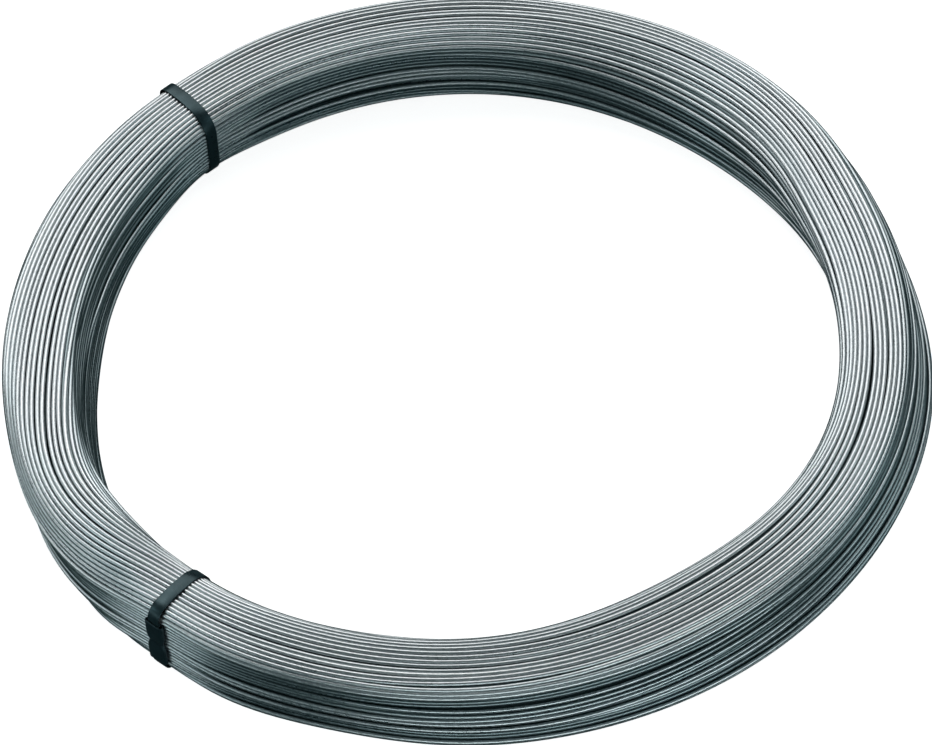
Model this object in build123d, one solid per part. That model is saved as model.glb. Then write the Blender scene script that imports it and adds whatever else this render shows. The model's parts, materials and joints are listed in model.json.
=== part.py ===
from build123d import *
import math
import os

# A coil of drawn galvanised wire lying on one end of its bore, held together by two steel straps.
# Millimetres, +Z up along the coil's axis, origin on the floor at the middle of the bore.

# Coil
WIRE_DIAMETER = 2.8
BORE_DIAMETER = 456.0
COIL_BUILD = 45.0  # radial width of the wound turns, from the bore to the outside
COIL_HEIGHT = 57.0
INNER_CORNER_RADIUS = 17.0  # rounding of the bundle between its bore wall and its ends
OUTER_CORNER_RADIUS = 9.0  # rounding between its outer wall and its ends
CORNER_FLAT = 8.0  # about how far each flat that rounds a corner spans
VALLEY_DEPTH_SHARE = 0.3  # depth between two turns, as a share of the wire
VALLEY_SPAN_SHARE = 0.6  # width of that valley, as a share of the pitch between turns

# Straps, each drawn tight round the bundle with its ends lapped on the outer wall
STRAP_WIDTH = 8.0
STRAP_THICKNESS = 0.7
STRAP_DRAW_IN = 1.2  # how far a strap's inner face pulls in below the crests of the turns
STRAP_CLEARANCE = 0.3  # between a strap or its seal and the turns under it and beside it
LAP_GAP = 0.1  # between the two lapped ends
STRAP_ANGLES = {"front": 229.0, "rear": 131.0}  # degrees round +Z from +X

# Seals, folded round the lapped ends and crimped
SEAL_LENGTH = 34.0
SEAL_THICKNESS = 0.6
SEAL_CLEARANCE = 0.2  # between the seal and the strap inside it
SEAL_LIP_WIDTH = 4.5  # how far each lip reaches back under the strap
CRIMPS = 1
CRIMP_RADIUS = 3.0
CRIMP_DEPTH = 1.7

# Cutters run past the faces that they cut by this much
OVERRUN = 2.0

# Sizes that follow from those above
lap_step = STRAP_THICKNESS + LAP_GAP
seal_wall_room = (COIL_HEIGHT - SEAL_LENGTH) / 2 - lap_step  # above and below a seal on the outer wall
inner_corner = INNER_CORNER_RADIUS
outer_corner = min(OUTER_CORNER_RADIUS, seal_wall_room)
bore_radius = BORE_DIAMETER / 2
outer_radius = bore_radius + COIL_BUILD
inner_corner_x = bore_radius + inner_corner
outer_corner_x = outer_radius - outer_corner
middle_z = COIL_HEIGHT / 2
strap_inner_x = outer_radius - STRAP_DRAW_IN
cavity_inner_x = strap_inner_x - SEAL_CLEARANCE
cavity_outer_x = strap_inner_x + lap_step + STRAP_THICKNESS + SEAL_CLEARANCE
seal_inner_x = cavity_inner_x - SEAL_THICKNESS
seal_outer_x = cavity_outer_x + SEAL_THICKNESS
seal_width = STRAP_WIDTH + 2 * (SEAL_CLEARANCE + SEAL_THICKNESS + CRIMP_DEPTH)


def end_turns(start, end, inward):
    """Outline of the turns side by side on an end: flat crests on the line, with valleys between them."""
    along = end - start
    turns = math.floor(along.length / WIRE_DIAMETER)
    half_span = VALLEY_SPAN_SHARE / 2
    points = []
    for valley in range(1, turns):
        points.append(start + along * ((valley - half_span) / turns))
        points.append(start + along * (valley / turns) + inward * (VALLEY_DEPTH_SHARE * WIRE_DIAMETER))
        points.append(start + along * ((valley + half_span) / turns))
    return points


def corner(x, z, radius, start_angle):
    """Outline of one corner of the bundle, where the rows of turns step round from a wall to an end."""
    flats = max(1, round(radius * math.pi / 2 / CORNER_FLAT))
    angles = [start_angle + 90 * flat / flats for flat in range(flats + 1)]
    return [Vector(x, z) + Vector(radius, 0).rotate(Axis.Z, angle) for angle in angles]


def coil_outline():
    """Section of the bundle, anticlockwise: turns on its two ends, stepped corners and plain walls."""
    floor_in, floor_out = Vector(inner_corner_x, 0), Vector(outer_corner_x, 0)
    top_in, top_out = Vector(inner_corner_x, COIL_HEIGHT), Vector(outer_corner_x, COIL_HEIGHT)
    return [
        *end_turns(floor_in, floor_out, Vector(0, 1)),
        *corner(outer_corner_x, outer_corner, outer_corner, -90),
        *corner(outer_corner_x, COIL_HEIGHT - outer_corner, outer_corner, 0),
        *end_turns(top_out, top_in, Vector(0, -1)),
        *corner(inner_corner_x, COIL_HEIGHT - inner_corner, inner_corner, 90),
        *corner(inner_corner_x, inner_corner, inner_corner, 180),
    ]


def around_bore_wall(inset):
    """The bundle's outline, inset, from the foot of its outer wall round its bore wall to its top."""
    low, high, inside = inset, COIL_HEIGHT - inset, bore_radius + inset
    inner_low_z, inner_high_z = inner_corner, COIL_HEIGHT - inner_corner
    return [
        CenterArc((outer_corner_x, outer_corner), outer_corner - inset, 0, -90),
        Line((outer_corner_x, low), (inner_corner_x, low)),
        CenterArc((inner_corner_x, inner_low_z), inner_corner - inset, -90, -90),
        Line((inside, inner_low_z), (inside, inner_high_z)),
        CenterArc((inner_corner_x, inner_high_z), inner_corner - inset, 180, -90),
        Line((inner_corner_x, high), (outer_corner_x, high)),
    ]


def down_outer_wall(inset, rise):
    """The rest of that outline, from the top down the outer wall, standing off the wall by a rise."""
    wall_x, top_z = outer_radius - inset + rise, COIL_HEIGHT - outer_corner - rise
    bend = CenterArc((outer_corner_x, top_z), outer_corner - inset + rise, 90, -90)
    return [bend, Line((wall_x, top_z), (wall_x, outer_corner))]


def strap_recess():
    """The waist that a strap draws into the bundle, with a deeper pocket for its seal's lips."""
    depth = STRAP_DRAW_IN + STRAP_CLEARANCE
    around = Rectangle(COIL_BUILD + 2 * OVERRUN, COIL_HEIGHT + 2 * OVERRUN)
    waist = make_face(around_bore_wall(depth) + down_outer_wall(depth, 0))
    ring = Plane.XZ * (Pos(bore_radius + COIL_BUILD / 2, middle_z) * around - waist)
    slot = extrude(ring, STRAP_WIDTH / 2 + STRAP_CLEARANCE, both=True)
    floor_x = seal_inner_x - STRAP_CLEARANCE
    pocket = Box(
        outer_radius + OVERRUN - floor_x,
        seal_width + 2 * STRAP_CLEARANCE,
        SEAL_LENGTH + 2 * STRAP_CLEARANCE,
        align=(Align.MIN, Align.CENTER, Align.CENTER),
    )
    return slot + Pos(floor_x, 0, middle_z) * pocket


def wire_coil():
    """The wound turns as one turned solid, drawn in where the straps pass."""
    coil = revolve(Plane.XZ * make_face(Polyline(*coil_outline(), close=True)), Axis.Z)
    for angle in STRAP_ANGLES.values():
        coil -= Rot(0, 0, angle) * strap_recess()
    return coil


def strap_edge(inset):
    """One face of the strap, inset from the bundle's outline, from its inner end round to its outer end."""
    wall_x, lap_z = outer_radius - inset, COIL_HEIGHT - outer_corner - lap_step
    inner_end = Line((wall_x, lap_z), (wall_x, outer_corner))
    return [inner_end, *around_bore_wall(inset), *down_outer_wall(inset, lap_step)]


def strap():
    """A strap at the +X side: one strip round the bundle, its outer end lapped over its inner end."""
    inner = strap_edge(STRAP_DRAW_IN)
    outer = strap_edge(STRAP_DRAW_IN - STRAP_THICKNESS)
    ends = [Line(inner[0] @ 0, outer[0] @ 0), Line(inner[-1] @ 1, outer[-1] @ 1)]
    return extrude(Plane.XZ * make_face(inner + outer + ends), STRAP_WIDTH / 2, both=True)


def seal_front_view(width, length, crimp_radius):
    """Outline of a crimped seal seen from outside, where each crimp nips in both of its sides."""
    outline = Rectangle(width, length)
    crimp_y = seal_width / 2 - CRIMP_DEPTH + CRIMP_RADIUS
    for number in range(CRIMPS):
        crimp_z = SEAL_LENGTH * ((number + 1) / (CRIMPS + 1) - 1 / 2)
        for side in (-1, 1):
            outline -= Pos(side * crimp_y, crimp_z) * Circle(crimp_radius)
    return outline


def seal():
    """A seal at the +X side: sheet folded round both lapped ends, its lips tucked under the strap."""
    sheet = seal_front_view(seal_width, SEAL_LENGTH, CRIMP_RADIUS)
    cavity_width = seal_width - 2 * SEAL_THICKNESS
    cavity = seal_front_view(cavity_width, SEAL_LENGTH + OVERRUN, CRIMP_RADIUS + SEAL_THICKNESS)
    mouth = Rectangle(seal_width - 2 * SEAL_LIP_WIDTH, SEAL_LENGTH + OVERRUN)
    folded = extrude(Plane.YZ.offset(seal_inner_x) * sheet, seal_outer_x - seal_inner_x)
    folded -= extrude(Plane.YZ.offset(cavity_inner_x) * cavity, cavity_outer_x - cavity_inner_x)
    folded -= extrude(Plane.YZ.offset(cavity_inner_x) * mouth, SEAL_THICKNESS + OVERRUN, dir=(-1, 0, 0))
    return Pos(0, 0, middle_z) * folded


os.makedirs("parts", exist_ok=True)
export_step(wire_coil(), "parts/wire_coil.step")
for name, angle in STRAP_ANGLES.items():
    export_step(Rot(0, 0, angle) * strap(), f"parts/strap_{name}.step")
    export_step(Rot(0, 0, angle) * seal(), f"parts/seal_{name}.step")
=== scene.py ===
"""Looks of a coil of galvanised wire, tied with two black straps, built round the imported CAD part.

The wire runs round the ring turn after turn. Its outer turns are settled against each other and against
the straps like round bars in a bundle. Some of them are then sunk a little into the walls, and all become
tubes. Lengths are in metres. The angles set here are in degrees, and those worked with are in radians.
"""
import json
import math

import bpy
import numpy as np
from mathutils import Matrix, Vector


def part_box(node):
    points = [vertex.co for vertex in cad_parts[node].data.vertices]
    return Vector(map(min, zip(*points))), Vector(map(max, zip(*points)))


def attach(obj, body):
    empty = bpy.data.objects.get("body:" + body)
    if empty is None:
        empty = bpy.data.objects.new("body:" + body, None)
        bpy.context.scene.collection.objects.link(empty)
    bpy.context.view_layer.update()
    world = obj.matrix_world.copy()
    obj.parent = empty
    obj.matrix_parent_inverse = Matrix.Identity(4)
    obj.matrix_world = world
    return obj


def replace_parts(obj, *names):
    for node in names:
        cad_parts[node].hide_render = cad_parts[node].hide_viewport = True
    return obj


SEED = 11
MM_PER_M = 1000

# The photograph's frame, where the ring's middle lies in it, and how the camera stands to the ring
IMAGE_WIDTH = 932
IMAGE_HEIGHT = 745
CENTRE_PIXEL = (462.0, 349.6)
FOCAL_PIXELS = 4443.0
CAMERA_AZIMUTH = 1.2
CAMERA_ELEVATION = 49.7
CAMERA_ROLL = 3.6
CAMERA_DISTANCE = 2.648

# The bundle of turns: its wire and corners, how far straps and seals draw it in, over what reach round the
# ring, and how far it bulges between them
WIRE_DIAMETER = 0.0028
INNER_CORNER_RADIUS = 0.017
OUTER_CORNER_RADIUS = 0.009
TIED_DRAW_IN = 0.0013
SEALED_DRAW_IN = 0.0021
TIED_REACH = 8.0
WALL_BULGE = 0.0006
TOP_BULGE = 0.0006

# The layers of turns from the outside in: their pitch and their step inwards as shares of the wire, and the
# share of the way round the outline at which they start
PITCH_SHARES = (1.09, 1.06, 1.06)
LAYERS = len(PITCH_SHARES)
LAYER_STEP_SHARE = 0.86
FIRST_TURN_SHARE = 0.75

# How finely the turns are made, and the dark ring inside them, painted shade for the turns further in
STATIONS = 240
TUBE_SIDES = (12, 6, 6)
TUBE_PIECES = (3, 1, 1)
CORE_INSET = 0.0075
CORE_POINTS = 40

# How the ring lies out of round between its straps, as rows of azimuth, reach in degrees and amount:
# where the bundle shifts outwards, where its top leans outwards, where it stands higher, where its upper
# outer, upper inner and lower inner corners are rounder and where it is wider towards the bore
SHIFTS = (
    (181.0, 25.0, -0.0038),
    (61.0, 25.0, -0.0015),
    (253.0, 14.0, -0.0020),
    (205.0, 10.0, 0.0020),
    (22.0, 13.0, 0.0020),
)
LEANS = (
    (-3.0, 28.0, -0.0170),
    (52.0, 24.0, 0.0060),
    (183.0, 25.0, 0.0100),
    (253.0, 14.0, 0.0040),
    (303.0, 18.0, -0.0030),
    (22.0, 13.0, -0.0080),
    (203.0, 14.0, 0.0060),
)
RISES = ((-18.0, 55.0, 0.0040),)
BROWS = ((209.0, 17.0, 0.0180),)
SHOULDERS = ((54.0, 28.0, 0.0130), (8.0, 16.0, -0.0080), (180.0, 26.0, -0.0110))
FEET = ((180.0, 26.0, -0.0090),)
SWELLS = ((300.0, 22.0, 0.0050), (22.0, 13.0, 0.0040), (183.0, 25.0, 0.0018))

# How far the left and right of the ring lie towards the front, and how fast that fades away from them
SIDE_SAG = 0.0100
SAG_POWER = 4

# How the turns are spaced along the outline. A row of GROUPS has how many close groups there are, how
# close they are and how often they change round the ring. A row of TIGHT_TOPS has azimuth, reach in
# degrees and how much closer the turns lie about TOP_SHARE of the way round the outline, on the top
GROUPS = ((5, 0.02, 1), (8, 0.02, 2), (13, 0.02, 3), (19, 0.02, 2))
TIGHT_TOPS = (
    (335.0, 42.0, 0.13),
    (5.0, 16.0, 0.05),
    (183.0, 30.0, 0.05),
    (90.0, 30.0, 0.03),
    (46.0, 16.0, -0.09),
    (146.0, 14.0, -0.05),
    (213.0, 14.0, -0.08),
)
TOP_SHARE = 0.16

# How far the turns wander from a neat winding, along the outline and in depth, in waves for each turn
DRIFT_ALONG = 0.0018
DRIFT_WAVES = (1.03, 1.96, 3.05)
WANDER_ALONG = 0.0003
WANDER_DEEP = 0.0005
WANDER_WAVES = 6
WANDER_PER_TURN = (0.3, 2.6)

# How far outer turns are sunk into the walls, what share of that on average, how much it varies, and
# where it varies less, as rows of azimuth, reach in degrees and amount
WALL_SINK = 0.0019
SUNK_MEAN = 0.9
SUNK_SPREAD = 1.3
NEAT_WALLS = ((184.0, 32.0, -1.0),)

# How the turns are settled: rounds, shares of the way moved in a round, and which turns are neighbours
SETTLE_ROUNDS = 120
LAST_ROUNDS = 4
PULL_SHARE = 0.03
PUSH_SHARE = 0.55
SMOOTH_SHARE = 0.25
NEIGHBOUR_DIAMETERS = 2.2
NEIGHBOUR_STRIDE = 4
LEAST_DISTANCE = WIRE_DIAMETER / 1000

# The straps and their seals, as in the CAD part, with rounded edges and bowed faces
STRAP_WIDTH = 0.008
STRAP_THICKNESS = 0.0007
STRAP_DRAW_IN = 0.0012
STRAP_EDGE = 0.00028
STRAP_CROWN = 0.0007
LAP_STEP = 0.0008
SEAL_LENGTH = 0.034
SEAL_WIDTH = 0.013
SEAL_THICKNESS = 0.0006
SEAL_CLEARANCE = 0.0002
SEAL_LIP = 0.0045
SEAL_CROWN = 0.0006
CRIMP_DEPTH = 0.0017
CRIMP_REACH = 0.0030

# How finely they are made
BEND_POINTS = 9
CROWN_POINTS = 7
EDGE_POINTS = 4
SEAL_POINTS_ACROSS = 11
SEAL_ROWS = 45

# Noise: how much fine detail it has, and spans that hold nearly all of it
PLAIN_DETAIL = 2.0
PATCH_DETAIL = 3.0
FINE_DETAIL = 4.0
NARROW_SPAN = (0.35, 0.65)
WIDE_SPAN = (0.3, 0.7)
UNIT_SPAN = (0.0, 1.0)

# The wire's zinc, with its noises scaled along and across the wire, and the painted shade between the
# turns:
# how deep between the turns it is wholly dark, and its teal-black tones
STRETCH_SCALE = (2.2, 0, 0)
GRAIN_SCALE = (500, 1300, 1300)
DRAWN_SCALE = (40, 2600, 2600)
ZINC_TONES = ((0.3, (0.42, 0.43, 0.44)), (0.5, (0.58, 0.59, 0.60)), (0.7, (0.78, 0.78, 0.78)))
GRAIN_SHADES = (0.82, 1.1)
STRETCH_ROUGHNESS = (0.24, 0.40)
GRAIN_ROUGHNESS = (0.9, 1.2)
DRAWN_BUMP = {"Strength": 0.15, "Distance": 0.0001}
GRAIN_BUMP = {"Strength": 0.08, "Distance": 0.0002}
PAINTED_SHADE_DEPTH = 0.0032
PAINTED_SHADE_TONES = (
    (0.0, (1, 1, 1)),
    (0.42, (0.76, 0.81, 0.82)),
    (0.62, (0.38, 0.44, 0.45)),
    (1.0, (0.17, 0.22, 0.23)),
)

# The straps' and seals' black paint
STRAP_BLACK = (0.006, 0.012, 0.014)
STRAP_ROUGHNESS = 0.30
SEAL_BLACK = (0.004, 0.009, 0.011)
SEAL_ROUGHNESS = 0.42
PATCH_SCALE = (220, 220, 220)
PATCH_PALER = 1.8
PATCH_ROUGHER = (-0.06, 0.08)
PAINT_GRAIN_SCALE = (2400, 2400, 2400)
PAINT_BUMP = {"Strength": 0.2, "Distance": 0.0001}
PAINT_TINT = (0.62, 0.92, 1.0, 1)

# The painted shade inside the bundle, the floor and the room
MATT_ROUGHNESS = 0.9
CORE_SHADE_SCALE = (90, 90, 90)
CORE_SHADE_TONES = ((0.3, (0.010, 0.014, 0.016)), (0.7, (0.03, 0.035, 0.037)))
FLOOR_SIZE = 60
FLOOR_SCALE = (3, 3, 3)
FLOOR_TONES = ((0.3, (0.60, 0.60, 0.60)), (0.7, (0.64, 0.64, 0.64)))
FLOOR_WHITE = (1, 1, 1, 1)
FLOOR_GLOW = 0.9
ROOM_GLOW = 1.0
ROOM_TONES = (
    (0.0, (0.020, 0.038, 0.041)),
    (0.5, (0.042, 0.078, 0.084)),
    (0.7, (0.055, 0.092, 0.098)),
    (1.0, (0.12, 0.15, 0.155)),
)

# The lights, as rows of name, place, aim, size, brightness and colour
PALE = (0.98, 1.0, 1.0)
FRESH = (0.84, 0.98, 1.0)
COOL = (0.72, 0.96, 1.0)
LIGHTS = (
    ("overhead", (-0.15, 1.6, 2.0), (0, 0, 0), (2.3, 1.9), 1.8, PALE),
    ("key", (-0.7, 1.6, 1.9), (0, 0, 0), (1.1, 0.9), 0.9, PALE),
    ("right_back", (1.33, 1.68, 1.47), (0, 0, 0), (0.9, 0.7), 1.8, PALE),
    ("right_top", (1.0, 1.0, 2.0), (0, 0, 0), (0.9, 0.9), 1.3, PALE),
    ("left_top", (-0.67, 1.0, 2.07), (0, 0, 0), (0.6, 0.6), 2.8, PALE),
    ("left_back", (-2.07, 1.05, 0.94), (0, 0, 0), (1.67, 1.3), 1.3, PALE),
    ("right", (1.9, 0.0, 0.85), (0, 0, 0), (1.1, 1.0), 0.9, COOL),
    ("left", (-1.8, -0.4, 1.1), (0, 0, 0), (0.6, 0.5), 2.3, COOL),
    ("front_left", (-0.8, -0.35, 0.16), (-0.2, -0.17, 0.03), (0.9, 0.2), 1.3, FRESH),
    ("front", (0.22, -0.76, 0.13), (0.07, -0.27, 0.03), (1.2, 0.16), 3.7, FRESH),
    ("front_right", (0.72, -0.5, 0.16), (0.18, -0.2, 0.03), (0.7, 0.16), 1.1, FRESH),
)

# Sockets of the node that mixes two colours
MIX_SHARE, MIX_FIRST, MIX_SECOND, MIX_RESULT = 0, 6, 7, 2

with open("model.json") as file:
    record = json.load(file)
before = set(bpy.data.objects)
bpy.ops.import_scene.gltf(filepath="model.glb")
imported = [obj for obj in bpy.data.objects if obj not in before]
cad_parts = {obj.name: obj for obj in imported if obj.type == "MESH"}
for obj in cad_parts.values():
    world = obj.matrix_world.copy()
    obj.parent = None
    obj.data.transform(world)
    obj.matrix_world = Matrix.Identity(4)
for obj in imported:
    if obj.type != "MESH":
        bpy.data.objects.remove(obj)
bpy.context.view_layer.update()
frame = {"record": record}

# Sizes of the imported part
coil_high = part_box("wire_coil")[1]
OUTER_RADIUS, HEIGHT = coil_high.x, coil_high.z
BORE_RADIUS = frame["record"]["mounts"][0]["dims"]["r_mm"] / MM_PER_M
BUILD = OUTER_RADIUS - BORE_RADIUS
MIDDLE_RADIUS = (OUTER_RADIUS + BORE_RADIUS) / 2


def azimuth(node):
    """Angle round the ring at which a CAD node sits"""
    low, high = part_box(node)
    return math.atan2(low.y + high.y, low.x + high.x)


STRAP_AZIMUTHS = {name: azimuth("strap_" + name) for name in ("front", "rear")}

# Angles of the stations, from one strap round to it again, so that the wire's ends are held under it
ANGLES = STRAP_AZIMUTHS["front"] + np.arange(STATIONS) * 2 * np.pi / STATIONS


def turned_from(angles, centre):
    """Angles round the ring from a centre, at most half a turn either way"""
    return (angles - centre + np.pi) % (2 * np.pi) - np.pi


def tied_at(angles):
    """1 where a strap ties the bundle, falling to 0 away from it"""
    straps = np.array(list(STRAP_AZIMUTHS.values()))
    away = np.abs(turned_from(angles[:, None], straps)).min(axis=1)
    return np.exp(-((away / math.radians(TIED_REACH)) ** 2))


def bumps(angles, rows):
    """Sum of smooth bumps round the ring, each given as azimuth, reach and height"""
    total = np.zeros_like(angles)
    for centre, reach, height in rows:
        away = turned_from(angles, math.radians(centre))
        total += height * np.exp(-((away / math.radians(reach)) ** 2))
    return total


class Outline:
    """The bundle's rounded section at each station: half sizes, middle in radius and height, and lean"""

    CORNERS = np.array([[1, 1], [-1, 1], [-1, -1], [1, -1]])
    ARC_POINTS = 12

    def __init__(self, angles):
        self.angles = angles
        tied = tied_at(angles)
        loose = 1 - tied
        inner = BUILD / 2 - TIED_DRAW_IN * tied + (WALL_BULGE + bumps(angles, SWELLS)) * loose
        outer = BUILD / 2 - SEALED_DRAW_IN * tied + WALL_BULGE * loose
        bottom = HEIGHT / 2 - TIED_DRAW_IN * tied
        top = HEIGHT / 2 - TIED_DRAW_IN * tied + (TOP_BULGE + bumps(angles, RISES)) * loose
        self.half = np.stack([(inner + outer) / 2, (top + bottom) / 2], -1)
        sag = -SIDE_SAG * np.sin(angles) * np.cos(angles) ** SAG_POWER
        shift = (sag + bumps(angles, SHIFTS)) * loose + (outer - inner) / 2
        self.middle = np.stack([MIDDLE_RADIUS + shift, HEIGHT / 2 + (top - bottom) / 2], -1)
        self.lean = bumps(angles, LEANS) * loose / HEIGHT
        self.brow = OUTER_CORNER_RADIUS + bumps(angles, BROWS) * loose
        self.shoulder = INNER_CORNER_RADIUS + bumps(angles, SHOULDERS) * loose
        self.foot = INNER_CORNER_RADIUS + bumps(angles, FEET) * loose

    def loop(self, station):
        """One station's outline as points with outward normals, closed"""
        turn = (np.arange(4)[:, None] + np.linspace(0, 1, self.ARC_POINTS)) * math.pi / 2
        normal = np.stack([np.cos(turn), np.sin(turn)], -1).reshape(-1, 2)
        radii = [self.brow[station], self.shoulder[station], self.foot[station], OUTER_CORNER_RADIUS]
        radius = np.repeat(radii, self.ARC_POINTS)[:, None]
        corners = np.repeat(self.CORNERS, self.ARC_POINTS, axis=0)
        points = corners * (self.half[station] - radius) + radius * normal
        return np.vstack([points, points[:1]]), np.vstack([normal, normal[:1]])

    def length(self):
        """Mean length round the outline"""
        loops = [self.loop(station)[0] for station in range(len(self.angles))]
        return np.mean([np.linalg.norm(np.diff(points, axis=0), axis=1).sum() for points in loops])

    def place(self, share, inset):
        """Section points at a share of the way round the outline, inset from it"""
        placed = np.empty(share.shape + (2,))
        for station in range(len(self.angles)):
            points, normal = self.loop(station)
            run = np.append(0, np.cumsum(np.linalg.norm(np.diff(points, axis=0), axis=1)))
            at = share[station] % 1 * run[-1]
            for axis in (0, 1):
                on = np.interp(at, run, points[:, axis])
                placed[station, :, axis] = on - inset[station] * np.interp(at, run, normal[:, axis])
        return placed

    def past_corners(self, points):
        """The corner radius nearest to section points, and how far they lie past that corner's centre"""
        inner = np.where(points[..., 1] > 0, self.shoulder[:, None], self.foot[:, None])
        outer = np.where(points[..., 1] > 0, self.brow[:, None], OUTER_CORNER_RADIUS)
        radius = np.where(points[..., 0] > 0, outer, inner)
        return radius, np.abs(points) - self.half[:, None] + radius[..., None]

    def depth(self, points):
        """How far section points lie below the outline"""
        radius, beyond = self.past_corners(points)
        return radius - np.linalg.norm(np.maximum(beyond, 0), axis=-1) - np.minimum(beyond.max(-1), 0)

    def normals(self, points):
        """Outward normals of the outline beside section points"""
        _, beyond = self.past_corners(points)
        past = np.maximum(beyond, 0)
        reach = np.linalg.norm(past, axis=-1, keepdims=True)
        flat = np.where(beyond[..., :1] > beyond[..., 1:], [1.0, 0.0], [0.0, 1.0])
        round_corner = past / np.maximum(reach, LEAST_DISTANCE)
        return np.where(reach > 0, round_corner, flat) * np.sign(points)

    def hold(self, points, margin):
        """Section points moved back inside the outline by a margin"""
        over = np.maximum(margin - self.depth(points), 0)
        return points - over[..., None] * self.normals(points)

    def ring(self, points):
        """Section points of each station as radius, angle and height, leaning where nothing ties them"""
        radius = self.middle[:, None, 0] + points[..., 0] + self.lean[:, None] * points[..., 1]
        height = self.middle[:, None, 1] + points[..., 1]
        return np.stack([radius, np.broadcast_to(self.angles[:, None], radius.shape), height], -1)


def waves(generator, winding):
    """A smooth wander of about one unit along the whole wire"""
    rates = generator.uniform(*WANDER_PER_TURN, WANDER_WAVES)
    starts = generator.uniform(0, 2 * math.pi, WANDER_WAVES)
    total = sum(np.sin(rate * winding + start) for rate, start in zip(rates, starts))
    return total * math.sqrt(2 / WANDER_WAVES)


def grouped(share, angles):
    """How far turns move along the outline towards others, so that they lie in close and loose groups"""
    total = bumps(angles, TIGHT_TOPS) * np.sin(2 * math.pi * (TOP_SHARE - share)) / (2 * math.pi)
    for number, depth, changes in GROUPS:
        turn = 2 * math.pi * number
        total = total + depth / turn * np.sin(turn * share + number) * np.cos(changes * angles + number)
    return total


def wound_turns(outline):
    """Where each turn would lie if nothing pushed it, layer by layer, and how many turns each layer has"""
    generator = np.random.default_rng(SEED)
    length = outline.length()
    step = WIRE_DIAMETER * LAYER_STEP_SHARE
    lengths = [length - 2 * math.pi * (WIRE_DIAMETER / 2 + layer * step) for layer in range(LAYERS)]
    counts = [int(run / (WIRE_DIAMETER * pitch)) for run, pitch in zip(lengths, PITCH_SHARES)]
    turn = np.concatenate([np.arange(count) for count in counts])
    in_layer = np.repeat(counts, counts)
    layer = np.repeat(np.arange(LAYERS), counts)
    lap = np.arange(STATIONS)[:, None] / STATIONS
    winding = 2 * math.pi * (np.arange(len(turn)) + lap)
    drift = sum(np.sin(rate * winding) for rate in DRIFT_WAVES) / len(DRIFT_WAVES)
    along = drift * DRIFT_ALONG + waves(generator, winding) * WANDER_ALONG
    share = FIRST_TURN_SHARE + (turn + lap) / in_layer
    share = share + grouped(share, outline.angles[:, None]) + along / length
    inset = WIRE_DIAMETER / 2 + layer * step + waves(generator, winding) * WANDER_DEEP
    return outline.place(share, np.maximum(inset, WIRE_DIAMETER / 2)), counts


def neighbours(points):
    """Pairs of turns that come near each other anywhere round the ring"""
    nearest = np.full((points.shape[1],) * 2, np.inf)
    for section in points[::NEIGHBOUR_STRIDE]:
        nearest = np.minimum(nearest, np.linalg.norm(section[:, None] - section, axis=-1))
    return np.where(np.triu(nearest < NEIGHBOUR_DIAMETERS * WIRE_DIAMETER, 1))


def push_apart(points, first, second):
    """Moves turns that overlap away from each other"""
    gap = points[:, first] - points[:, second]
    distance = np.maximum(np.linalg.norm(gap, axis=-1), LEAST_DISTANCE)
    push = gap * (np.maximum(WIRE_DIAMETER - distance, 0) * PUSH_SHARE / 2 / distance)[..., None]
    moved = np.zeros((points.shape[1], points.shape[0], 2))
    np.add.at(moved, first, push.transpose(1, 0, 2))
    np.add.at(moved, second, -push.transpose(1, 0, 2))
    return points + moved.transpose(1, 0, 2)


def smooth(points):
    """Evens the wire along its length, from turn to turn"""
    line = points.transpose(1, 0, 2).reshape(-1, 2)
    line[1:-1] += SMOOTH_SHARE * (line[:-2] + line[2:] - 2 * line[1:-1])
    return line.reshape(points.shape[1], points.shape[0], 2).transpose(1, 0, 2)


def sunk_walls(outline, points):
    """The outer turns with some sunk into the walls here and there, so that others stand proud of them"""
    generator = np.random.default_rng(SEED + 1)
    winding = 2 * math.pi * (np.arange(points.shape[1]) + np.arange(STATIONS)[:, None] / STATIONS)
    spread = SUNK_SPREAD * (1 + bumps(outline.angles, NEAT_WALLS))[:, None]
    sunk = np.clip(SUNK_MEAN + spread * waves(generator, winding), 0, 1)
    loose = 1 - tied_at(outline.angles)
    normal = outline.normals(points)
    depth = WALL_SINK * sunk * loose[:, None] * normal[..., 0] ** 2
    return points - depth[..., None] * normal


def settled_turns(outline):
    """The turns pushed apart, held by the outline and evened along the wire, the outer ones then sunk"""
    goal, counts = wound_turns(outline)
    points = goal.copy()
    first, second = neighbours(points)
    for _ in range(SETTLE_ROUNDS):
        points = push_apart(points + (goal - points) * PULL_SHARE, first, second)
        points = smooth(outline.hold(points, WIRE_DIAMETER / 2))
    for _ in range(LAST_ROUNDS):
        points = smooth(points)
    points[:, :counts[0]] = sunk_walls(outline, points[:, :counts[0]])
    return points, counts


def new_piece(name, vertices, faces, material):
    """A smooth mesh piece that rides on the part"""
    mesh = bpy.data.meshes.new(name)
    mesh.from_pydata(vertices, [], faces)
    mesh.shade_smooth()
    mesh.materials.append(material)
    piece = bpy.data.objects.new(name, mesh)
    bpy.context.scene.collection.objects.link(piece)
    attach(piece, "root")
    return piece


def grid_faces(rows, columns, closed_rows=False):
    """Quads over a grid of vertices whose columns close round"""
    row = np.arange(rows if closed_rows else rows - 1)[:, None]
    column = np.arange(columns)[None]
    after, beside = (row + 1) % rows * columns, (column + 1) % columns
    quads = np.stack([row * columns + column, row * columns + beside, after + beside, after + column], -1)
    return quads.reshape(-1, 4).tolist()


def capped_faces(rows, columns):
    """The same quads, with a face over each end"""
    last = (rows - 1) * columns
    return grid_faces(rows, columns) + [list(range(columns))[::-1], list(range(last, last + columns))]


def in_space(radius, angle, height):
    """Points given as radius, angle and height round the ring, in the part's frame"""
    return np.stack([radius * np.cos(angle), radius * np.sin(angle), height], -1).reshape(-1, 3)


def round_section(sides):
    """Points round the wire's section"""
    around = np.arange(sides) * 2 * math.pi / sides
    return np.stack([np.cos(around), np.sin(around)], -1) * WIRE_DIAMETER / 2


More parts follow.
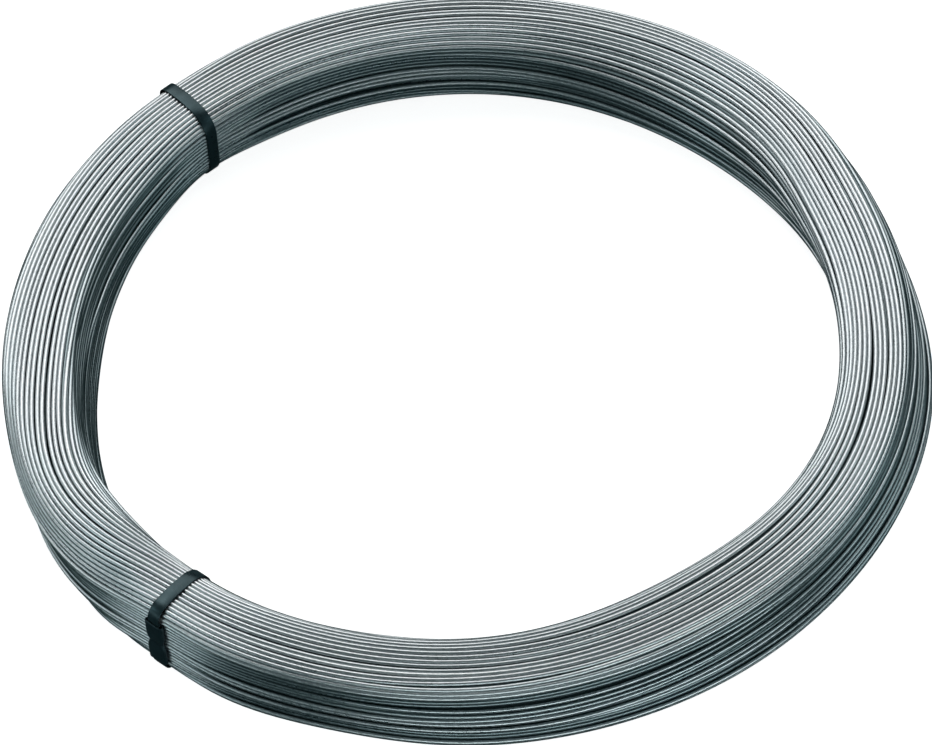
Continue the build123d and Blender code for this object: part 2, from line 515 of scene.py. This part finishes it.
def tube(name, line, section, material):
    """A round wire along points given as radius, angle and height"""
    radius = line[:, None, 0] + section[:, 0]
    height = line[:, None, 2] + section[:, 1]
    vertices = in_space(radius, line[:, None, 1], height)
    return new_piece(name, vertices, capped_faces(len(line), len(section)), material)


def mark_wire(piece, along, section, depth):
    """Gives a tube's vertices their place along and round the wire, and their depth below the outline"""
    along, across, up = np.broadcast_arrays(along[:, None], section[:, 0], section[:, 1])
    place = piece.data.attributes.new("wire_space", "FLOAT_VECTOR", "POINT")
    place.data.foreach_set("vector", np.stack([along, across, up], -1).astype(np.float32).ravel())
    below = piece.data.attributes.new("below_surface", "FLOAT", "POINT")
    below.data.foreach_set("value", depth.astype(np.float32).ravel())


def wire_pieces(outline, material):
    """The layers of turns as tubes, the outer one in pieces; each goes on where the last one ends"""
    points, counts = settled_turns(outline)
    line = outline.ring(points).transpose(1, 0, 2).reshape(-1, 3)
    along = np.arange(len(line)) * 2 * math.pi * MIDDLE_RADIUS / STATIONS
    made = []
    ends = np.cumsum([0] + counts) * STATIONS
    for layer, (sides, pieces) in enumerate(zip(TUBE_SIDES, TUBE_PIECES)):
        section = round_section(sides)
        depth = np.stack([outline.depth(points + offset).T.ravel() for offset in section], -1)
        cuts = ends[layer] + np.linspace(0, counts[layer], pieces + 1).astype(int) * STATIONS
        for number in range(pieces):
            span = slice(cuts[number], cuts[number + 1] + 1)
            piece = tube(f"wire_layer_{layer + 1}_{number + 1}", line[span], section, material)
            mark_wire(piece, along[span], section, depth[span])
            made.append(piece)
    return made


def core_piece(outline, material):
    """The turns further inside as one dark ring, painted near-black as their shade"""
    share = np.linspace(0, 1, CORE_POINTS, endpoint=False)[None].repeat(STATIONS, 0)
    ring = outline.ring(outline.place(share, np.full(share.shape, CORE_INSET)))
    vertices = in_space(ring[..., 0], ring[..., 1], ring[..., 2])
    faces = grid_faces(STATIONS, CORE_POINTS, True)
    return new_piece("wire_core", vertices, faces, material)


def arc(centre, radius, start, sweep, points=BEND_POINTS):
    """Points and outward normals round an arc in the section, with angles in degrees"""
    turn = np.radians(start + sweep * np.linspace(0, 1, points))
    normal = np.stack([np.cos(turn), np.sin(turn)], -1)
    return np.array(centre) + radius * normal, normal


def crown(ends, height):
    """The strap's run over the top, bowed up a little between its bends"""
    share = np.linspace(-1, 1, CROWN_POINTS)[1:-1]
    radius = ends[0] + (ends[1] - ends[0]) * (share + 1) / 2
    rise = STRAP_CROWN * (1 - share**2) ** 2
    return np.stack([radius, height + rise], -1), np.tile([0.0, 1.0], (len(share), 1))


def strap_line():
    """The middle of the strap's thickness, from its inner end round the bundle to its outer end"""
    inset = STRAP_DRAW_IN - STRAP_THICKNESS / 2
    inner, outer = INNER_CORNER_RADIUS - inset, OUTER_CORNER_RADIUS - inset
    inside, outside = BORE_RADIUS + INNER_CORNER_RADIUS, OUTER_RADIUS - OUTER_CORNER_RADIUS
    lap = HEIGHT - OUTER_CORNER_RADIUS - LAP_STEP
    out = np.array([[1.0, 0.0]])
    runs = [
        (np.array([[OUTER_RADIUS - inset, lap]]), out),
        arc((outside, OUTER_CORNER_RADIUS), outer, 0, -90),
        arc((inside, INNER_CORNER_RADIUS), inner, -90, -90),
        arc((inside, HEIGHT - INNER_CORNER_RADIUS), inner, 180, -90),
        crown((inside, outside), HEIGHT - inset),
        arc((outside, lap), outer + LAP_STEP, 90, -90),
        (np.array([[OUTER_RADIUS - inset + LAP_STEP, OUTER_CORNER_RADIUS]]), out),
    ]
    return np.vstack([points for points, _ in runs]), np.vstack([normals for _, normals in runs])


def rounded_strip(width, thickness, edge):
    """Cross-section of a strip with rounded edges, as width and thickness"""
    across, up = width / 2 - edge, thickness / 2 - edge
    centres = ((across, up), (-across, up), (-across, -up), (across, -up))
    corners = [arc(centre, edge, 90 * number, 90, EDGE_POINTS) for number, centre in enumerate(centres)]
    return np.vstack([points for points, _ in corners])


def beside_strap(name, radius, side, height):
    """Points given as radius, way along the ring and height at a strap, in the part's frame"""
    turn = STRAP_AZIMUTHS[name]
    x = radius * math.cos(turn) - side * math.sin(turn)
    y = radius * math.sin(turn) + side * math.cos(turn)
    return np.stack([x, y, height], -1).reshape(-1, 3)


def strap_piece(name, material):
    """A flat strap drawn tight round the bundle, its outer end lapped over its inner end"""
    points, normals = strap_line()
    section = rounded_strip(STRAP_WIDTH, STRAP_THICKNESS, STRAP_EDGE)
    local = points[:, None] + normals[:, None] * section[None, :, 1:]
    side = np.broadcast_to(section[:, 0], local.shape[:2])
    faces = capped_faces(len(points), len(section))
    vertices = beside_strap(name, local[..., 0], side, local[..., 1])
    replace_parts(new_piece("strap_" + name + "_band", vertices, faces, material), "strap_" + name)


def seal_section():
    """Middle of the seal's sheet round the lapped ends, lip to lip: way along the ring, radius, normals"""
    back = OUTER_RADIUS - STRAP_DRAW_IN - SEAL_CLEARANCE - SEAL_THICKNESS / 2
    front = OUTER_RADIUS - STRAP_DRAW_IN + LAP_STEP + STRAP_THICKNESS + SEAL_CLEARANCE + SEAL_THICKNESS / 2
    fold = (front - back) / 2
    side = SEAL_WIDTH / 2 - SEAL_THICKNESS / 2 - fold
    lip = SEAL_WIDTH / 2 - SEAL_LIP
    across = np.linspace(1, -1, SEAL_POINTS_ACROSS)[1:-1] * side
    down, up = np.array([[0.0, -1.0]]), np.tile([0.0, 1.0], (len(across), 1))
    runs = [
        (np.array([[lip, back]]), down),
        arc((side, back + fold), fold, -90, 180),
        (np.stack([across, np.full(len(across), front)], -1), up),
        arc((-side, back + fold), fold, 90, 180),
        (np.array([[-lip, back]]), down),
    ]
    return np.vstack([points for points, _ in runs]), np.vstack([normals for _, normals in runs])


def sheet_end(first, count):
    """Quads over the end of a folded sheet, between the outer and the inner half of its loop of vertices"""
    last = first + count - 1
    return [[first + at, first + at + 1, last - 1 - at, last - at] for at in range(count // 2 - 1)]


def seal_piece(name, material):
    """A seal folded round the lapped ends: two full lobes, nipped in at the crimp between them"""
    points, normals = seal_section()
    half_width, lobe = SEAL_WIDTH / 2, SEAL_LENGTH / 4
    height = np.linspace(-0.5, 0.5, SEAL_ROWS) * SEAL_LENGTH
    nip = np.exp(-((height / CRIMP_REACH) ** 2))
    lobes = np.sqrt(np.maximum(1 - (np.abs(np.abs(height) - lobe) / lobe) ** 2, 0))
    width = 1 - nip * CRIMP_DEPTH / half_width
    front = np.maximum(normals[:, 1], 0) * (1 - (points[:, 0] / half_width) ** 2)
    loop = np.vstack([points + normals * SEAL_THICKNESS / 2, (points - normals * SEAL_THICKNESS / 2)[::-1]])
    raised = np.append(front, front[::-1])
    side = loop[None, :, 0] * width[:, None]
    radius = loop[None, :, 1] + SEAL_CROWN * (lobes - nip)[:, None] * raised
    level = np.broadcast_to(HEIGHT / 2 + height[:, None], side.shape)
    count = len(loop)
    faces = grid_faces(len(height), count)
    faces += [quad[::-1] for quad in sheet_end(0, count)]
    faces += sheet_end((len(height) - 1) * count, count)
    vertices = beside_strap(name, radius, side, level)
    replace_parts(new_piece("seal_" + name + "_crimped", vertices, faces, material), "seal_" + name)


def node(tree, kind, **inputs):
    """A new shader node with its inputs set or linked; a key with two underscores has the socket's index"""
    made = tree.nodes.new(kind)
    for name, value in inputs.items():
        socket = made.inputs[int(name[2:]) if name.startswith("__") else name.replace("_", " ")]
        if isinstance(value, bpy.types.NodeSocket):
            tree.links.new(value, socket)
        else:
            socket.default_value = value
    return made


def new_material(name):
    """A material with its node tree and its shader"""
    material = bpy.data.materials.new(name)
    material.use_nodes = True
    return material, material.node_tree, material.node_tree.nodes["Principled BSDF"]


def ramp(tree, value, stops):
    """A colour ramp with its stops given as place and colour"""
    made = node(tree, "ShaderNodeValToRGB", Fac=value)
    points = made.color_ramp.elements
    while len(points) < len(stops):
        points.new(0.5)
    for point, (place, colour) in zip(points, stops):
        point.position = place
        point.color = (*colour, 1)
    return made.outputs["Color"]


def scaled(tree, vector, scale):
    """A vector times a scale for each axis"""
    made = node(tree, "ShaderNodeVectorMath", __0=vector, __1=scale)
    made.operation = "MULTIPLY"
    return made.outputs[0]


def noise(tree, vector, detail):
    """Noise at a scaled place, from 0 to 1"""
    return node(tree, "ShaderNodeTexNoise", Vector=vector, Scale=1.0, Detail=detail).outputs["Fac"]


def mapped(tree, value, span, result):
    """A value mapped from one span to another"""
    low, high = {"From_Min": span[0], "To_Min": result[0]}, {"From_Max": span[1], "To_Max": result[1]}
    return node(tree, "ShaderNodeMapRange", Value=value, **low, **high).outputs["Result"]


def attribute(tree, name):
    """A value that the mesh keeps for each vertex"""
    made = tree.nodes.new("ShaderNodeAttribute")
    made.attribute_name = name
    return made


def multiplied(tree, first, second):
    """Two values multiplied"""
    made = node(tree, "ShaderNodeMath", __0=first, __1=second)
    made.operation = "MULTIPLY"
    return made.outputs[0]


def tinted(tree, first, second):
    """Two colours multiplied"""
    made = tree.nodes.new("ShaderNodeMix")
    made.data_type, made.blend_type = "RGBA", "MULTIPLY"
    made.inputs[MIX_SHARE].default_value = 1.0
    tree.links.new(first, made.inputs[MIX_FIRST])
    tree.links.new(second, made.inputs[MIX_SECOND])
    return made.outputs[MIX_RESULT]


def galvanised_wire():
    """Drawn zinc-coated wire: fine grains, lighter and darker stretches, painted shade between the turns"""
    material, tree, shader = new_material("galvanised_wire")
    place = attribute(tree, "wire_space").outputs["Vector"]
    depth = attribute(tree, "below_surface").outputs["Fac"]
    stretch = noise(tree, scaled(tree, place, STRETCH_SCALE), FINE_DETAIL)
    grain = noise(tree, scaled(tree, place, GRAIN_SCALE), FINE_DETAIL)
    drawn = noise(tree, scaled(tree, place, DRAWN_SCALE), PLAIN_DETAIL)
    zinc = tinted(tree, ramp(tree, stretch, ZINC_TONES), mapped(tree, grain, NARROW_SPAN, GRAIN_SHADES))
    # Painted shade: colour and reflections turn teal-black the deeper a point lies below the outline,
    # between turns
    painted_shade = ramp(tree, mapped(tree, depth, (0.0, PAINTED_SHADE_DEPTH), UNIT_SPAN), PAINTED_SHADE_TONES)
    tree.links.new(tinted(tree, zinc, painted_shade), shader.inputs["Base Color"])
    tree.links.new(painted_shade, shader.inputs["Specular Tint"])
    dull = mapped(tree, stretch, NARROW_SPAN, STRETCH_ROUGHNESS)
    uneven = mapped(tree, grain, NARROW_SPAN, GRAIN_ROUGHNESS)
    tree.links.new(multiplied(tree, dull, uneven), shader.inputs["Roughness"])
    lines = node(tree, "ShaderNodeBump", Height=drawn, **DRAWN_BUMP).outputs[0]
    grains = node(tree, "ShaderNodeBump", Height=grain, Normal=lines, **GRAIN_BUMP).outputs[0]
    tree.links.new(grains, shader.inputs["Normal"])
    shader.inputs["Metallic"].default_value = 1.0
    return material


def black_paint(name, colour, roughness):
    """Black paint on steel strip, with a fine grain and paler, duller patches"""
    material, tree, shader = new_material(name)
    place = node(tree, "ShaderNodeTexCoord").outputs["Object"]
    patches = noise(tree, scaled(tree, place, PATCH_SCALE), PATCH_DETAIL)
    grain = noise(tree, scaled(tree, place, PAINT_GRAIN_SCALE), PLAIN_DETAIL)
    paler = tuple(PATCH_PALER * part for part in colour)
    tree.links.new(ramp(tree, patches, tuple(zip(WIDE_SPAN, (colour, paler)))), shader.inputs["Base Color"])
    dull = [roughness + change for change in PATCH_ROUGHER]
    tree.links.new(mapped(tree, patches, WIDE_SPAN, dull), shader.inputs["Roughness"])
    relief = node(tree, "ShaderNodeBump", Height=grain, **PAINT_BUMP)
    tree.links.new(relief.outputs[0], shader.inputs["Normal"])
    shader.inputs["Specular Tint"].default_value = PAINT_TINT
    return material


def matt_material(name, scale, detail, tones):
    """A matt material whose tone varies a little from place to place, with its shader"""
    material, tree, shader = new_material(name)
    place = node(tree, "ShaderNodeTexCoord").outputs["Object"]
    patches = noise(tree, scaled(tree, place, scale), detail)
    tree.links.new(ramp(tree, patches, tones), shader.inputs["Base Color"])
    shader.inputs["Roughness"].default_value = MATT_ROUGHNESS
    return material, shader


def pale_floor():
    """A wide pale floor for the camera only, so that the coil mirrors the dim room and not the floor"""
    material, shader = matt_material("floor", FLOOR_SCALE, PLAIN_DETAIL, FLOOR_TONES)
    shader.inputs["Emission Color"].default_value = FLOOR_WHITE
    shader.inputs["Emission Strength"].default_value = FLOOR_GLOW
    bpy.ops.mesh.primitive_plane_add(size=FLOOR_SIZE)
    floor = bpy.context.object
    floor.name = "floor"
    floor.data.materials.append(material)
    floor.visible_glossy = False
    floor.visible_diffuse = False


def room():
    """A dim room, paler overhead"""
    world = bpy.data.worlds.new("room")
    world.use_nodes = True
    bpy.context.scene.world = world
    tree = world.node_tree
    outward = node(tree, "ShaderNodeTexCoord").outputs["Generated"]
    up = node(tree, "ShaderNodeSeparateXYZ", Vector=outward).outputs["Z"]
    sky = ramp(tree, mapped(tree, up, (-1.0, 1.0), UNIT_SPAN), ROOM_TONES)
    tree.links.new(sky, tree.nodes["Background"].inputs["Color"])
    tree.nodes["Background"].inputs["Strength"].default_value = ROOM_GLOW


def soft_light(name, place, aim, size, brightness, colour):
    """A rectangular soft light turned to a point, as bright all over however large it is"""
    data = bpy.data.lights.new(name, "AREA")
    data.shape = "RECTANGLE"
    data.size, data.size_y = size
    data.energy = brightness * math.pi * size[0] * size[1]
    data.color = colour
    light = bpy.data.objects.new(name, data)
    light.location = place
    light.rotation_euler = (Vector(aim) - Vector(place)).to_track_quat("-Z", "Y").to_euler()
    light.visible_camera = False
    bpy.context.scene.collection.objects.link(light)


def camera():
    """The camera at the photograph's angle, with the ring's middle at its place in the picture"""
    tilt, roll = math.radians(CAMERA_ELEVATION), math.radians(CAMERA_ROLL)
    centre = Vector((0, 0, HEIGHT / 2))
    around = Matrix.Rotation(math.radians(CAMERA_AZIMUTH), 3, "Z")
    place = centre + CAMERA_DISTANCE * (around @ Vector((0, -math.cos(tilt), math.sin(tilt))))
    right, up = around @ Vector((1, 0, 0)), around @ Vector((0, math.sin(tilt), math.cos(tilt)))
    right, up = right * math.cos(roll) - up * math.sin(roll), up * math.cos(roll) + right * math.sin(roll)
    pixel = CAMERA_DISTANCE / FOCAL_PIXELS
    aim = centre + right * (IMAGE_WIDTH / 2 - CENTRE_PIXEL[0]) * pixel
    aim = aim + up * (CENTRE_PIXEL[1] - IMAGE_HEIGHT / 2) * pixel
    back = (place - aim).normalized()
    right = (right - back * right.dot(back)).normalized()
    data = bpy.data.cameras.new("camera")
    data.sensor_fit = "HORIZONTAL"
    data.lens = FOCAL_PIXELS / IMAGE_WIDTH * data.sensor_width
    made = bpy.data.objects.new("camera", data)
    turned = Matrix((right, back.cross(right), back)).transposed()
    made.matrix_world = Matrix.Translation(place) @ turned.to_4x4()
    bpy.context.scene.collection.objects.link(made)
    bpy.context.scene.camera = made


def main():
    """Makes the pieces, the stage, the lights and the camera"""
    outline = Outline(ANGLES)
    wire = galvanised_wire()
    # The inner turns' ring is painted near-black as their shade, not in the zinc's own colour
    inside, _ = matt_material("painted_shade_inside", CORE_SHADE_SCALE, PATCH_DETAIL, CORE_SHADE_TONES)
    for piece in [*wire_pieces(outline, wire), core_piece(outline, inside)]:
        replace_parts(piece, "wire_coil")
    strap_paint = black_paint("strap_paint", STRAP_BLACK, STRAP_ROUGHNESS)
    seal_paint = black_paint("seal_paint", SEAL_BLACK, SEAL_ROUGHNESS)
    for name in STRAP_AZIMUTHS:
        strap_piece(name, strap_paint)
        seal_piece(name, seal_paint)
    pale_floor()
    room()
    for row in LIGHTS:
        soft_light(*row)
    camera()
    bpy.context.scene.view_settings.view_transform = "Standard"


main()
